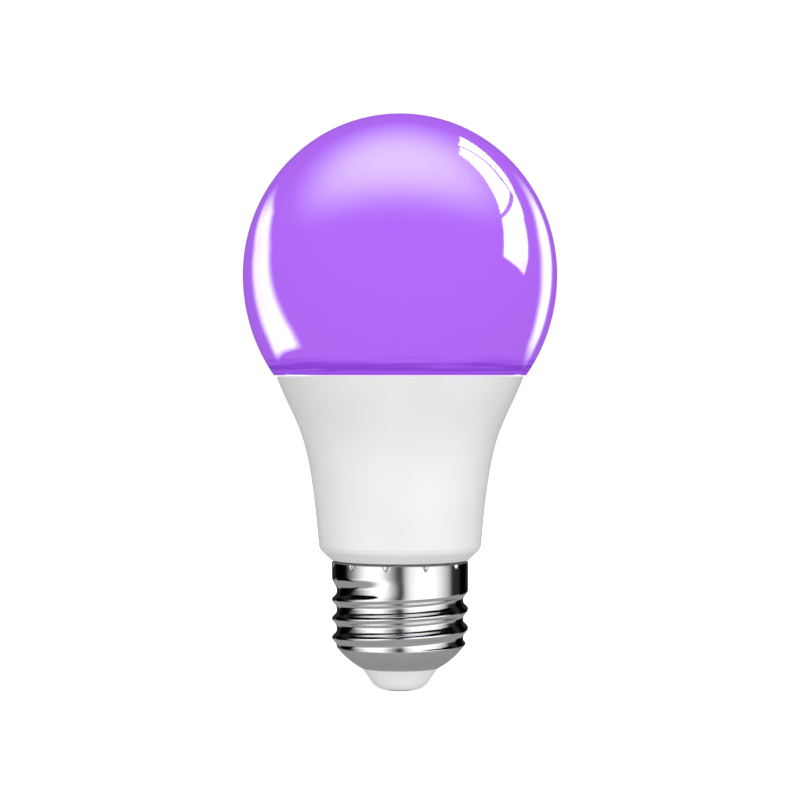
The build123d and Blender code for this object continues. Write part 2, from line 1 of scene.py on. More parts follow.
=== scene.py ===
# A lit smart bulb on a screw cap: finishes, the rolled cap, studio and camera.
import bpy
import bmesh
import math
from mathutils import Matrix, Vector


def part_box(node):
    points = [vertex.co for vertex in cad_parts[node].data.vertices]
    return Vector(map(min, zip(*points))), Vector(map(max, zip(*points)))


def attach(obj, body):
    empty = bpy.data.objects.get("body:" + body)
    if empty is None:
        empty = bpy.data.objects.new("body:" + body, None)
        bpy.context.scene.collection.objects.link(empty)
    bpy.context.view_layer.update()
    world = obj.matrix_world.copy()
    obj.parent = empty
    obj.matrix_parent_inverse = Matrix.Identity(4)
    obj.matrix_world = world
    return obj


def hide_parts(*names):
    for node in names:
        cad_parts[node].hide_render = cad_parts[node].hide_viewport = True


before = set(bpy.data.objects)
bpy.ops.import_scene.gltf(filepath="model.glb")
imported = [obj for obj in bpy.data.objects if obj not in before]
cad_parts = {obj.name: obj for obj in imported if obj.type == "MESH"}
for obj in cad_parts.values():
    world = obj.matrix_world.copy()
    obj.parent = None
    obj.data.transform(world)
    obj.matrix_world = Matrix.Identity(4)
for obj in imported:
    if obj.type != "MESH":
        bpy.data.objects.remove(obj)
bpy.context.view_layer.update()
mm = 0.001
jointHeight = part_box("housing")[1].z
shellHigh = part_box("screw_shell")[1]
print("frame loaded:", len(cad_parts), "nodes")


# sRGB hex to the linear colour that a socket takes
def linear(hexColour):
    parts = [int(hexColour[i:i + 2], 16) / 255 for i in (1, 3, 5)]
    return [c / 12.92 if c <= 0.04045 else ((c + 0.055) / 1.055) ** 2.4 for c in parts] + [1.0]


# One node with its settings, socket values and links
def addNode(tree, kind, links=None, values=None, **settings):
    node = tree.nodes.new(kind)
    for name, value in settings.items():
        setattr(node, name, value)
    for name, value in (values or {}).items():
        node.inputs[name].default_value = value
    for name, source in (links or {}).items():
        tree.links.new(source, node.inputs[name])
    return node


# Ramp stops are (place from 0 to 1, hex colour or grey level)
def setStops(node, stops, blend="LINEAR"):
    ramp = node.color_ramp
    ramp.interpolation = blend
    while len(ramp.elements) < len(stops):
        ramp.elements.new(0.5)
    for element, (place, colour) in zip(ramp.elements, stops):
        element.position = place
        element.color = linear(colour) if isinstance(colour, str) else [colour] * 3 + [1]


def emptyMaterial(name):
    material = bpy.data.materials.new(name)
    material.use_nodes = True
    material.node_tree.nodes.clear()
    return material, material.node_tree


def newMaterial(name, values=None):
    material, tree = emptyMaterial(name)
    shader = addNode(tree, "ShaderNodeBsdfPrincipled", values=values)
    addNode(tree, "ShaderNodeOutputMaterial", {"Surface": shader.outputs["BSDF"]})
    return material, tree, shader


# A finished bmesh as an object in the scene. Where sharp is given, its faces are smooth,
# and an edge stays crisp if they meet there at more than that many degrees.
def objectFrom(shape, name, material, sharp=None):
    if sharp:
        bmesh.ops.recalc_face_normals(shape, faces=shape.faces[:])
        for face in shape.faces:
            face.smooth = True
    mesh = bpy.data.meshes.new(name)
    shape.to_mesh(mesh)
    shape.free()
    if sharp:
        mesh.set_sharp_from_angle(angle=math.radians(sharp))
    mesh.materials.append(material)
    piece = bpy.data.objects.new(name, mesh)
    bpy.context.scene.collection.objects.link(piece)
    return piece


noiseKind = "ShaderNodeTexNoise"
cellKind = "ShaderNodeTexVoronoi"
bandKind = "ShaderNodeTexWave"
bandWaver = 0.6  # how far bands stray from straight
# Finishes inside the bulb: two tones each, a grain and a depth of relief in mm, and a range of roughness
innerFinishes = {
    "silicone": dict(  # cured RTV silicone: milky, slightly lumpy, soft shine
        real="cured silicone bead", tones=("#D8D6D0", "#EDECE8"),
        grain=1.5, rough=(0.4, 0.55), depth=0.03),
    "aluminium_sheet": dict(  # deep-drawn aluminium: grey metal with draw lines up the wall
        real="drawn aluminium sheet", tones=("#B9BCC0", "#D3D5D8"),
        grain=0.5, rough=(0.28, 0.45), depth=0.004, metal=1.0, stretch=(1, 1, 0.06)),
    "thermal_silicone": dict(  # filled silicone pad: pale grey-blue, dull
        real="thermal silicone pad", tones=("#8E9AA6", "#A4AFB9"),
        grain=0.4, rough=(0.7, 0.85), depth=0.01),
    "board_core": dict(  # aluminium board core: milled edge, satin metal
        real="aluminium board core", tones=("#AEB2B6", "#C9CCCF"),
        grain=0.3, rough=(0.3, 0.5), depth=0.003, metal=1.0),
    "white_solder_mask": dict(  # white solder mask: bright, faint orange peel
        real="white solder mask", tones=("#E9EAEA", "#F4F4F3"),
        grain=0.6, rough=(0.3, 0.42), depth=0.004),
    "led_ceramic": dict(  # moulded white package: matt and bright
        real="moulded PCT package", tones=("#E4E3DE", "#F0EFEB"),
        grain=0.2, rough=(0.5, 0.6), depth=0.003),
    "led_phosphor": dict(  # phosphor in silicone: yellow, grainy, rubbery shine
        real="phosphor in silicone", tones=("#E0B437", "#F0CF62"),
        grain=0.12, rough=(0.25, 0.4), depth=0.004, kind=cellKind),
    "led_clear_lens": dict(  # clear silicone over the dies: pale violet and wet-looking
        real="clear encapsulant", tones=("#C9C3DA", "#DCD8E8"),
        grain=0.8, rough=(0.05, 0.12), depth=0.001),
    "zinc_plated_steel": dict(  # zinc-plated screw: bluish metal with spangle
        real="zinc-plated steel", tones=("#A9AFB8", "#C6CBD0"),
        grain=0.5, rough=(0.25, 0.42), depth=0.004, metal=1.0, kind=cellKind),
    "gold_plated_pin": dict(  # gold-plated phosphor bronze: warm metal, drawn along its length
        real="gold-plated bronze", tones=("#C79A3E", "#E0BA62"),
        grain=0.3, rough=(0.18, 0.3), depth=0.002, metal=1.0, stretch=(1, 1, 0.1)),
    "black_nylon": dict(  # glass-filled nylon: near black, speckled
        real="glass-filled nylon", tones=("#16171A", "#26272B"),
        grain=0.25, rough=(0.45, 0.6), depth=0.006),
    "green_fr4": dict(  # green FR4: solder mask over glass weave
        real="green FR4 laminate", tones=("#0E4A2A", "#1A6A3E"),
        grain=0.5, rough=(0.3, 0.45), depth=0.004, kind=bandKind),
    "blue_fr4": dict(  # blue FR4 of the wireless module
        real="blue FR4 laminate", tones=("#123A78", "#1C4F9A"),
        grain=0.5, rough=(0.3, 0.45), depth=0.004, kind=bandKind),
    "tinned_can": dict(  # tin-plated steel lid: bright with fine rolling lines
        real="tin-plated steel", tones=("#C3C5C6", "#DADBDB"),
        grain=0.3, rough=(0.2, 0.34), depth=0.002, metal=1.0, stretch=(0.08, 1, 1)),
    "epoxy_black": dict(  # moulded epoxy: charcoal, spark-eroded texture
        real="moulded black epoxy", tones=("#1B1B1C", "#2B2B2D"),
        grain=0.12, rough=(0.5, 0.68), depth=0.006),
    "copper_trace": dict(  # copper under lacquer: orange metal, a little tarnished
        real="lacquered copper", tones=("#B4683A", "#CF8A56"),
        grain=0.8, rough=(0.22, 0.38), depth=0.002, metal=1.0),
    "ferrite": dict(  # sintered ferrite: dark grey stone
        real="sintered ferrite", tones=("#26272A", "#3A3B3F"),
        grain=0.2, rough=(0.6, 0.8), depth=0.012, kind=cellKind),
    "bobbin_phenolic": dict(  # phenolic bobbin: brown-black, moulded
        real="phenolic bobbin", tones=("#241A14", "#36281F"),
        grain=0.4, rough=(0.4, 0.55), depth=0.006),
    "winding_tape": dict(  # polyester tape over the winding: yellow film with wrap edges
        real="polyester winding tape", tones=("#D2AE2E", "#E8CA55"),
        grain=1.1, rough=(0.22, 0.35), depth=0.03, kind=bandKind, axis="Z"),
    "film_cap_epoxy": dict(  # dipped epoxy: red-brown and glossy
        real="dipped red epoxy", tones=("#8E2A1C", "#A93C2A"),
        grain=0.9, rough=(0.18, 0.3), depth=0.02),
    "capacitor_sleeve": dict(  # shrunk PET sleeve: dark, smooth film
        real="shrunk PET sleeve", tones=("#1D2733", "#2A3747"),
        grain=0.8, rough=(0.22, 0.34), depth=0.004),
    "resistor_body": dict(  # cement-coated resistor: pale green and chalky
        real="cement-coated resistor", tones=("#7FA08C", "#98B6A3"),
        grain=0.25, rough=(0.6, 0.75), depth=0.012),
    "heat_shrink": dict(  # polyolefin heat-shrink: white, waxy
        real="polyolefin heat-shrink", tones=("#D9D8D4", "#E9E8E5"),
        grain=0.8, rough=(0.4, 0.52), depth=0.012),
    "tinned_copper": dict(  # tinned wire: silver with drawing lines
        real="tinned copper wire", tones=("#BDBEBD", "#D6D7D6"),
        grain=0.2, rough=(0.22, 0.36), depth=0.002, metal=1.0, stretch=(1, 1, 0.1)),
}


def innerMaterial(finish):
    material, tree, shader = newMaterial(finish["real"], values={"Metallic": finish.get("metal", 0.0)})
    kind = finish.get("kind", noiseKind)
    place = addNode(tree, "ShaderNodeTexCoord")
    turned = addNode(
        tree, "ShaderNodeMapping", {"Vector": place.outputs["Object"]},
        {"Scale": finish.get("stretch", (1, 1, 1))},
    )
    # a wave texture has 20/2pi bands to a unit, the others one grain
    perUnit = 2 * math.pi / 20 if kind == bandKind else 1
    grain = addNode(
        tree, kind, {"Vector": turned.outputs["Vector"]}, {"Scale": perUnit / (finish["grain"] * mm)})
    if kind == bandKind:
        grain.bands_direction = finish.get("axis", "DIAGONAL")
        grain.inputs["Distortion"].default_value = bandWaver
    level = grain.outputs["Distance" if kind == cellKind else "Fac"]
    tones = addNode(tree, "ShaderNodeValToRGB", {"Fac": level})
    setStops(tones, [(0.25, finish["tones"][0]), (0.75, finish["tones"][1])])
    gloss = addNode(
        tree, "ShaderNodeMapRange", {"Value": level},
        {"To Min": finish["rough"][0], "To Max": finish["rough"][1]},
    )
    relief = addNode(
        tree, "ShaderNodeBump", {"Height": level}, {"Strength": 0.6, "Distance": finish["depth"] * mm})
    tree.links.new(tones.outputs["Color"], shader.inputs["Base Color"])
    tree.links.new(gloss.outputs["Result"], shader.inputs["Roughness"])
    tree.links.new(relief.outputs["Normal"], shader.inputs["Normal"])
    return material


materials = {slot: innerMaterial(finish) for slot, finish in innerFinishes.items()}
print("inner finishes made:", len(materials))

globe = {
    "glow": "#9A5ED2",  # light coming through the wall
    "wall": "#613090",  # the wall's own colour under studio light
    "shadedBandGlow": "#7D3BBD",  # painted shade: a darker band above the joint, where the tongue shades the wall
    "shadedBandWall": "#4A2276",
    "rimGlow": "#9153D2",
    "leakHighlight": "#F6E6F2",  # painted highlight: a near-white line of light that leaks out at the rim
    "band": 4.0,  # mm above the joint that the painted shade band reaches
    "leak": 0.1,  # mm of painted bright rim
    "streakLength": 14.0,  # mm along the joint
    "streakHeight": 0.75,
    "streakShift": 0.16,  # share of the band by which the painted streaks move its edges
    "roughness": (0.05, 0.08),
    "cloud": 9.0,  # mm across a cloud in the pigment
}


# Polycarbonate with diffusing pigment, glossy from a polished mould: an even glow under a hard clear shine,
# with a painted highlight and painted shade above the joint
def polycarbonateDiffuser():
    material, tree, shader = newMaterial(
        "violet-lit polycarbonate diffuser",
        values={"IOR": 1.585, "Emission Strength": 1.0, "Specular IOR Level": 0.5},
    )
    place = addNode(tree, "ShaderNodeTexCoord")
    parts = addNode(tree, "ShaderNodeSeparateXYZ", {"Vector": place.outputs["Object"]})
    height = addNode(
        tree, "ShaderNodeMapRange", {"Value": parts.outputs["Z"]},
        {"From Min": jointHeight, "From Max": jointHeight + globe["band"] * mm},
    )
    # the painted streaks, reflections inside the wall, lie along the joint, so their grain is long in the
    # round and short in height
    turned = addNode(
        tree, "ShaderNodeMapping", {"Vector": place.outputs["Object"]},
        {"Scale": [1 / (globe["streakLength"] * mm)] * 2 + [1 / (globe["streakHeight"] * mm)]},
    )
    streaks = addNode(tree, noiseKind, {"Vector": turned.outputs["Vector"]}, {"Scale": 1.0, "Detail": 1.0})
    shifted = addNode(
        tree, "ShaderNodeMapRange", {"Value": streaks.outputs["Fac"]},
        {"From Min": 0.3, "From Max": 0.7, "To Min": -globe["streakShift"], "To Max": globe["streakShift"]},
    )
    inBand = addNode(tree, "ShaderNodeValToRGB", {"Fac": height.outputs["Result"]})
    setStops(inBand, [(0.1, 0.0), (0.3, 1.0), (0.85, 1.0), (1.0, 0.0)])
    moved = addNode(
        tree, "ShaderNodeMath", {0: shifted.outputs["Result"], 1: inBand.outputs["Color"]},
        operation="MULTIPLY")
    level = addNode(
        tree, "ShaderNodeMath", {0: height.outputs["Result"], 1: moved.outputs["Value"]},
        operation="ADD")
    # stops go up from the joint, as shares of the band's height: a painted highlight at the rim, then
    # painted shade with lighter lines, fading into the even glow
    leak = globe["leak"] / globe["band"]
    glow = addNode(tree, "ShaderNodeValToRGB", {"Fac": level.outputs["Value"]})
    setStops(glow, [
        (0.0, globe["leakHighlight"]), (leak, globe["leakHighlight"]), (leak + 0.03, globe["shadedBandGlow"]),
        (0.17, globe["rimGlow"]), (0.26, globe["shadedBandGlow"]), (0.42, globe["shadedBandGlow"]),
        (0.62, globe["rimGlow"]), (0.9, globe["glow"]),
    ])
    # the painted shade darkens the wall's own colour in the band too
    wall = addNode(tree, "ShaderNodeValToRGB", {"Fac": level.outputs["Value"]})
    setStops(wall, [
        (0.0, globe["wall"]), (0.2, globe["shadedBandWall"]), (0.45, globe["shadedBandWall"]), (0.9, globe["wall"]),
    ])
    cloud = addNode(
        tree, noiseKind, {"Vector": place.outputs["Object"]},
        {"Scale": 1 / (globe["cloud"] * mm), "Detail": 2.0},
    )
    low, high = globe["roughness"]
    gloss = addNode(
        tree, "ShaderNodeMapRange", {"Value": cloud.outputs["Fac"]}, {"To Min": low, "To Max": high})
    tree.links.new(glow.outputs["Color"], shader.inputs["Emission Color"])
    tree.links.new(wall.outputs["Color"], shader.inputs["Base Color"])
    tree.links.new(gloss.outputs["Result"], shader.inputs["Roughness"])
    return material


materials["diffuser_polycarbonate"] = polycarbonateDiffuser()

# Sizes in mm, heights from the tip of the contact
globeShape = {
    "radius": 30.0,
    "equator": 79.2,
    "top": 110.0,
    "lowerAxis": 32.0,  # the ellipse under the equator is this deep
    "wall": 1.3,
    "joint": 60.0,
    "edge": 0.12,  # rounding at the rim
    "tongue": (20.3, 21.6),  # radii of the ring that drops into the housing
    "tongueBottom": 57.8,
    "tongueEdge": 0.4,  # rounding of its foot
    "rings": (64, 40),  # above and below the equator
    "segments": 256,
    "crease": 40,  # degrees above which an edge stays crisp
}


# One side of the globe's wall, from the crown down to a height, as (radius, height) in mm
def globeSide(inset, bottom):
    side = globeShape["radius"] - inset
    upper = globeShape["top"] - globeShape["equator"] - inset
    lower = globeShape["lowerAxis"] - inset
    above, below = globeShape["rings"]
    lowest = math.asin((globeShape["equator"] - bottom) / lower)
    turns = [math.pi / 2 * (1 - i / above) for i in range(above)]
    crown = [(side * math.cos(turn), globeShape["equator"] + upper * math.sin(turn)) for turn in turns]
    turns = [lowest * i / below for i in range(below + 1)]
    return crown + [
        (side * math.cos(turn), globeShape["equator"] - lower * math.sin(turn)) for turn in turns
    ]


# A ring of points about the axis, in metres
def ringAt(shape, radius, height, segments):
    turns = [2 * math.pi * i / segments for i in range(segments)]
    return [shape.verts.new((radius * math.cos(turn), radius * math.sin(turn), height)) for turn in turns]


# Turns an outline of (radius, height) in mm about the axis. Ends on the axis close to a point.
def turnedShape(outline, segments):
    shape = bmesh.new()
    rings = []
    for radius, height in outline:
        if radius < 0.001:
            rings.append([shape.verts.new((0, 0, height * mm))] * segments)
        else:
            rings.append(ringAt(shape, radius * mm, height * mm, segments))
    for upper, lower in zip(rings, rings[1:]):
        for i in range(segments):
            j = (i + 1) % segments
            corners = [upper[i], lower[i], lower[j], upper[j]]
            shape.faces.new([corner for k, corner in enumerate(corners) if corner not in corners[:k]])
    return shape


# The globe as one closed wall: outside, rounded rim, tongue, inside
def blownGlobe():
    joint, edge = globeShape["joint"], globeShape["edge"]
    outside = globeSide(0, joint + edge)
    rim = outside[-1][0]
    rounded = [
        (rim - edge * (1 - math.cos(turn)), joint + edge * (1 - math.sin(turn)))
        for turn in (math.pi / 8, math.pi / 4, math.pi * 3 / 8, math.pi / 2)
    ]
    tongueIn, tongueOut = globeShape["tongue"]
    low = globeShape["tongueBottom"]
    cut = globeShape["tongueEdge"]
    corner = 0.3 * cut  # the rounding passes this far inside the sharp corner
    tongue = [
        (tongueOut, joint), (tongueOut, low + cut),
        (tongueOut - corner, low + corner), (tongueOut - cut, low),
        (tongueIn + cut, low), (tongueIn + corner, low + corner), (tongueIn, low + cut),
    ]
    inside = globeSide(globeShape["wall"], joint + globeShape["wall"])
    outline = outside + rounded + tongue + [(tongueIn, inside[-1][1])] + inside[::-1]
    shape = turnedShape(outline, globeShape["segments"])
    return objectFrom(shape, "blown_globe", materials["diffuser_polycarbonate"], globeShape["crease"])


globePiece = blownGlobe()
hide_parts("diffuser_globe")
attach(globePiece, "root")
print("globe turned:", len(globePiece.data.polygons), "faces")

housing = {
    "shadeHeight": 24.9,  # mm; below it only the sliver over the cap shows, and painted shade makes it dark
    # the colour of the painted shade
    "shadeTone": "#5E5E60",
    "tones": ("#E5E5E5", "#EAEAEB"),
    "flow": 12.0,  # mm between the two tones, where the plastic flowed
    "grain": 0.25,  # fine spark-eroded mould texture, drawn coarser than its real 0.05 mm
    "depth": 0.0015,
    "roughness": (0.36, 0.44),
}
insulator = {
    "shadeHeight": -1.0,  # lower than the whole piece, so that no shade is painted on it
    "shadeTone": "#5E5E60",
    "tones": ("#E7E7E9", "#EDEDEF"),
    "flow": 12.0,
    "grain": 0.3,
    "depth": 0.002,
    "roughness": (0.3, 0.42),
}
shadeFade = 0.05  # mm over which the painted shade ends


# White PBT straight from the mould: a satin, slightly cool white with a soft broad shine
def mouldedPbt(name, finish):
    material, tree, shader = newMaterial(name, values={"IOR": 1.55})
    place = addNode(tree, "ShaderNodeTexCoord")
    grain = addNode(
        tree, noiseKind, {"Vector": place.outputs["Object"]},
        {"Scale": 1 / (finish["grain"] * mm), "Detail": 3.0},
    )
    flow = addNode(
        tree, noiseKind, {"Vector": place.outputs["Object"]},
        {"Scale": 1 / (finish["flow"] * mm), "Detail": 1.0},
    )
    tones = addNode(tree, "ShaderNodeValToRGB", {"Fac": flow.outputs["Fac"]})
    setStops(tones, [(0.3, finish["tones"][0]), (0.7, finish["tones"][1])])
    parts = addNode(tree, "ShaderNodeSeparateXYZ", {"Vector": place.outputs["Object"]})
    # painted shade: below the shade height the colour goes to the dark tone, for the shadow in the gap over
    # the cap
    clear = addNode(
        tree, "ShaderNodeMapRange", {"Value": parts.outputs["Z"]},
        {"From Min": (finish["shadeHeight"] - shadeFade) * mm, "From Max": (finish["shadeHeight"] + shadeFade) * mm},
    )
    shaded = addNode(
        tree, "ShaderNodeMix", {0: clear.outputs["Result"], 7: tones.outputs["Color"]},
        {6: linear(finish["shadeTone"])}, data_type="RGBA")
    low, high = finish["roughness"]
    gloss = addNode(
        tree, "ShaderNodeMapRange", {"Value": grain.outputs["Fac"]}, {"To Min": low, "To Max": high})
    relief = addNode(
        tree, "ShaderNodeBump", {"Height": grain.outputs["Fac"]},
        {"Strength": 0.5, "Distance": finish["depth"] * mm},
    )
    tree.links.new(shaded.outputs[2], shader.inputs["Base Color"])
    tree.links.new(gloss.outputs["Result"], shader.inputs["Roughness"])
    tree.links.new(relief.outputs["Normal"], shader.inputs["Normal"])
    return material


materials["housing_pbt"] = mouldedPbt("white PBT housing", housing)
materials["insulator_pbt"] = mouldedPbt("white PBT insulator", insulator)

# The screw cap is a thin sheet with its thread rolled in, so its crests and roots are rounded. Sizes in mm.
cap = {
    "pitch": 3.629,
    "depth": 0.925,  # from crest to root
    "rootFlat": 1.4,
    "rootBow": 0.1,  # share of the depth by which the root is hollowed
    "upperFlank": 1.0,
    "lastFlank": 1.5,  # the same flank where the thread runs out under the collar
    "lastFlankTurn": (-220, -110),  # degrees from the end over which the flank changes
    "lowerFlank": 0.75,
    "rounding": 0.45,  # height over which the roller rounds a corner
    "roundingSteps": 6,
    "turns": 3.75,  # from the side of the part at +X
    "threadEnd": 19.9,  # height of the groove's middle where its turns end
    "runOut": (-60.0, 5.0),  # degrees from the end over which the groove rises
    "bowlRadius": 15.34,
    "bowlCentre": 17.62,
    "bowlBlend": 0.25,  # softens the corner between the bowl and the thread
    "sheet": 0.3,
    "lip": 0.25,  # how far the top edge curls in, over lipHeight
    "lipHeight": 0.35,
    "marks": 11,
    "firstMark": -101.0,  # degrees
    "markBottom": 23.3,
    "markWidth": 0.8,
    "markPoint": 0.25,  # share of the width left at a mark's lower end
    "markDepth": 0.7,
    "markFade": 0.45,  # share of a mark's height over which it reaches its depth
    "markEase": 0.5,  # share of the depth lost again at the cap's edge
    # from, to, and how many rows of faces lie between
    "bands": [(4.3, 8.0, 16), (8.0, 20.6, 120), (20.6, 22.7, 6), (22.7, 24.2, 16), (24.2, 24.6, 8)],
    "segments": 432,
    "crease": 55,
}
crestRadius = shellHigh.x / mm
capTop = shellHigh.z / mm


# Rises from 0 to 1 between two values, level at both
def smoothStep(low, high, value):
    share = min(1.0, max(0.0, (value - low) / (high - low)))
    return share * share * (3 - 2 * share)


# Share of the groove's depth at a height above the middle of its root
def grooveShare(rise, upperFlank):
    flat = cap["rootFlat"] / 2
    if abs(rise) <= flat:
        return 1 - cap["rootBow"] * (rise / flat) ** 2
    flank = upperFlank if rise > 0 else cap["lowerFlank"]
    return (1 - cap["rootBow"]) * max(0.0, 1 - (abs(rise) - flat) / flank)


# The same share, averaged over the height that the roller rounds
def roundedShare(rise, upperFlank):
    steps = cap["roundingSteps"]
    offsets = [cap["rounding"] * (i / steps - 0.5) for i in range(steps + 1)]
    return sum(grooveShare(rise + offset, upperFlank) for offset in offsets) / len(offsets)


# Outside radius of the cap, in mm, at an angle in degrees and a height in mm
def capRadius(angle, height):
    radius = crestRadius
    threadStart = cap["threadEnd"] - cap["turns"] * cap["pitch"]
    end = 360 * cap["turns"]
    for turn in range(math.ceil(cap["turns"])):
        swept = angle + 360 * turn
        rise = height - threadStart - cap["pitch"] * swept / 360
        if abs(rise) < cap["pitch"]:
            fade = 1 - smoothStep(end + cap["runOut"][0], end + cap["runOut"][1], swept)
            last = smoothStep(end + cap["lastFlankTurn"][0], end + cap["lastFlankTurn"][1], swept)
            flank = cap["upperFlank"] + (cap["lastFlank"] - cap["upperFlank"]) * last
            radius = min(radius, crestRadius - cap["depth"] * roundedShare(rise, flank) * fade)
    drop = cap["bowlCentre"] - height
    if drop > 0:
        bowl = math.sqrt(cap["bowlRadius"] ** 2 - drop * drop)
        blend = max(0.0, 1 - abs(bowl - radius) / cap["bowlBlend"])
        radius = min(bowl, radius) - blend * blend * cap["bowlBlend"] / 6
    curl = max(0.0, (height - capTop) / cap["lipHeight"] + 1)
    return radius - capMark(angle, height) - cap["lip"] * curl ** 3


# How far a punch mark pushes the sheet in: a V that is widest at the cap's edge
def capMark(angle, height):
    if height < cap["markBottom"]:
        return 0.0
    step = 360 / cap["marks"]
    aside = (angle - cap["firstMark"] + step / 2) % step - step / 2
    share = (height - cap["markBottom"]) / (capTop - cap["markBottom"])
    width = cap["markWidth"] * (cap["markPoint"] + (1 - cap["markPoint"]) * share) * math.sqrt(share)
    sideways = abs(math.radians(aside)) * crestRadius
    inside = max(0.0, 1 - sideways / max(width, 0.01))
    depth = cap["markDepth"] * smoothStep(0, cap["markFade"], share) * (1 - cap["markEase"] * share * share)
    return depth * inside


def rolledCap():
    heights = [low + (high - low) * i / rows for low, high, rows in cap["bands"] for i in range(rows)]
    heights.append(capTop)
    shape = bmesh.new()
    rings = []
    for height in heights:
        ring = []
        for segment in range(cap["segments"]):
            angle = 360 * segment / cap["segments"]
            radius = capRadius(angle, height) * mm
            turn = math.radians(angle)
            ring.append(shape.verts.new((radius * math.cos(turn), radius * math.sin(turn), height * mm)))
        rings.append(ring)
    for lower, upper in zip(rings, rings[1:]):
        for i in range(cap["segments"]):
            j = (i + 1) % cap["segments"]
            shape.faces.new((lower[i], lower[j], upper[j], upper[i]))
    shape.normal_update()
    bmesh.ops.solidify(shape, geom=shape.faces[:], thickness=cap["sheet"] * mm)
    return objectFrom(shape, "rolled_screw_cap", materials["nickel_plated_brass"], cap["crease"])


plating = {
    "tones": ("#E2E2E2", "#EAEAEA"),
    "threadGloss": (0.11, 0.16),
    "bowlGloss": (0.36, 0.44),
    "satinEdge": 8.3,  # mm; below it the tooling leaves the bowl satin
    "satinFade": 0.15,
    "dieLine": 0.12,  # mm between the fine lines round the cap
    "dieAcross": 50.0,  # mm along a line over which it changes
    "dieDepth": 0.0006,
    "stain": 5.0,
}


# Nickel plating on rolled brass: a bright mirror on the thread, satin on the bowl, fine lines round it
def nickelPlatedBrass():
    material, tree, shader = newMaterial("nickel-plated brass", values={"Metallic": 1.0})
    place = addNode(tree, "ShaderNodeTexCoord")
    parts = addNode(tree, "ShaderNodeSeparateXYZ", {"Vector": place.outputs["Object"]})
    stain = addNode(
        tree, noiseKind, {"Vector": place.outputs["Object"]},
        {"Scale": 1 / (plating["stain"] * mm), "Detail": 4.0},
    )
    tones = addNode(tree, "ShaderNodeValToRGB", {"Fac": stain.outputs["Fac"]})
    setStops(tones, [(0.3, plating["tones"][0]), (0.7, plating["tones"][1])])
    thread = addNode(
        tree, "ShaderNodeMapRange", {"Value": stain.outputs["Fac"]},
        {"To Min": plating["threadGloss"][0], "To Max": plating["threadGloss"][1]},
    )
    bowl = addNode(
        tree, "ShaderNodeMapRange", {"Value": stain.outputs["Fac"]},
        {"To Min": plating["bowlGloss"][0], "To Max": plating["bowlGloss"][1]},
    )
    satin = addNode(
        tree, "ShaderNodeMapRange", {"Value": parts.outputs["Z"]},
        {
            "From Min": (plating["satinEdge"] - plating["satinFade"]) * mm,
            "From Max": (plating["satinEdge"] + plating["satinFade"]) * mm,
        },
    )
    gloss = addNode(tree, "ShaderNodeMix", {
        "Factor": satin.outputs["Result"], "A": bowl.outputs["Result"], "B": thread.outputs["Result"],
    })
    lines = addNode(
        tree, "ShaderNodeMapping", {"Vector": place.outputs["Object"]},
        {"Scale": [1 / (plating["dieAcross"] * mm)] * 2 + [1 / (plating["dieLine"] * mm)]},
    )
    dies = addNode(tree, noiseKind, {"Vector": lines.outputs["Vector"]}, {"Scale": 1.0, "Detail": 2.0})
    relief = addNode(
        tree, "ShaderNodeBump", {"Height": dies.outputs["Fac"]},
        {"Strength": 0.5, "Distance": plating["dieDepth"] * mm},
    )
    tree.links.new(tones.outputs["Color"], shader.inputs["Base Color"])
    tree.links.new(gloss.outputs["Result"], shader.inputs["Roughness"])
    tree.links.new(relief.outputs["Normal"], shader.inputs["Normal"])
    return material


contact = {"tones": ("#8F9091", "#A9AAAB"), "scuff": 0.4, "depth": 0.002, "roughness": (0.22, 0.4)}


# Nickel-plated pin, scuffed by the lampholder's spring: duller and darker than the shell
def contactNickel():
    material, tree, shader = newMaterial("scuffed nickel contact", values={"Metallic": 1.0})
    place = addNode(tree, "ShaderNodeTexCoord")
    scuff = addNode(
        tree, noiseKind, {"Vector": place.outputs["Object"]},
        {"Scale": 1 / (contact["scuff"] * mm), "Detail": 4.0},
    )
    tones = addNode(tree, "ShaderNodeValToRGB", {"Fac": scuff.outputs["Fac"]})
    setStops(tones, [(0.35, contact["tones"][0]), (0.65, contact["tones"][1])])
    low, high = contact["roughness"]
    gloss = addNode(
        tree, "ShaderNodeMapRange", {"Value": scuff.outputs["Fac"]}, {"To Min": low, "To Max": high})
    relief = addNode(
        tree, "ShaderNodeBump", {"Height": scuff.outputs["Fac"]}, {"Distance": contact["depth"] * mm})
    tree.links.new(tones.outputs["Color"], shader.inputs["Base Color"])
    tree.links.new(gloss.outputs["Result"], shader.inputs["Roughness"])
    tree.links.new(relief.outputs["Normal"], shader.inputs["Normal"])
    return material


materials["nickel_plated_brass"] = nickelPlatedBrass()
materials["contact_nickel"] = contactNickel()
shellPiece = rolledCap()
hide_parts("screw_shell")
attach(shellPiece, "root")
print("screw cap rolled:", len(shellPiece.data.polygons), "faces")

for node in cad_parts.values():
    for slot in node.material_slots:
        slot.material = materials[slot.material.name]
print("finishes given to every node")

stageScene = bpy.context.scene
globeCentre = Vector((0, 0, globeShape["equator"] * mm))
capCentre = Vector((0, 0, 16 * mm))
white = (1, 1, 1, 1)
black = (0, 0, 0, 1)
daylight = linear("#E6FFFF")


def receivers(name, objects):
    group = bpy.data.collections.new(name)
    for piece in objects:
        group.objects.link(piece)
    return group


globeOnly = receivers("lights the globe", [globePiece])
capAndHousing = receivers(
    "lights the cap",
    [shellPiece] + [node for name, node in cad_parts.items() if name != "diffuser_globe"],
)


# Azimuth is from the camera's side towards the right, in degrees
def direction(azimuth, elevation):
    across, up = math.radians(azimuth), math.radians(elevation)
    return Vector((math.sin(across) * math.cos(up), -math.cos(across) * math.cos(up), math.sin(up)))


def between(start, end, share):
    return [a + (b - a) * share for a, b in zip(start, end)]


